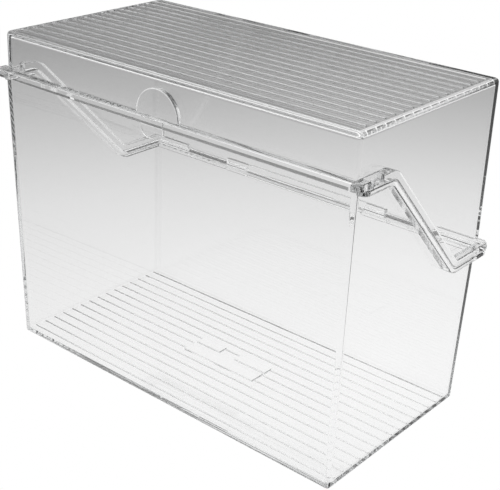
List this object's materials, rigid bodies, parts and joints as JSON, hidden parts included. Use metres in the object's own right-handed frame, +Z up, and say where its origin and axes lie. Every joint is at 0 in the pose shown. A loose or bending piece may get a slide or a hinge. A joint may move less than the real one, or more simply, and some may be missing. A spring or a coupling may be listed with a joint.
{
  "type": "clear hinged index card box",
  "caption": "Clear plastic index card box with a Z-shaped rim; its ribbed lid folds over on half-height rear hinges.",
  "frame": {"origin": "centre of the bin's underside, on the surface it stands on", "axes": "+Z up, +X along the long side to the right seen from the front, front with the thumb lip towards -Y"},
  "size_m": [0.166, 0.0902, 0.127],
  "materials": {
    "bin_plastic": "clear polystyrene, polished and colourless, seen through",
    "lid_plastic": "clear polystyrene, polished and colourless, seen through",
    "pin_steel": "bright drawn steel wire"
  },
  "bodies": {
    "bin": {"bin": "bin_plastic", "hinge_pin_left": "pin_steel", "hinge_pin_right": "pin_steel"},
    "lid": {"lid": "lid_plastic"}
  },
  "joints": [
    {"name": "lid_hinge", "type": "hinge", "parent": "bin", "child": "lid", "pos_m": [0, 0.0436, 0.0635], "axis": [-1, 0, 0], "range_deg": [0, 180]}
  ]
}
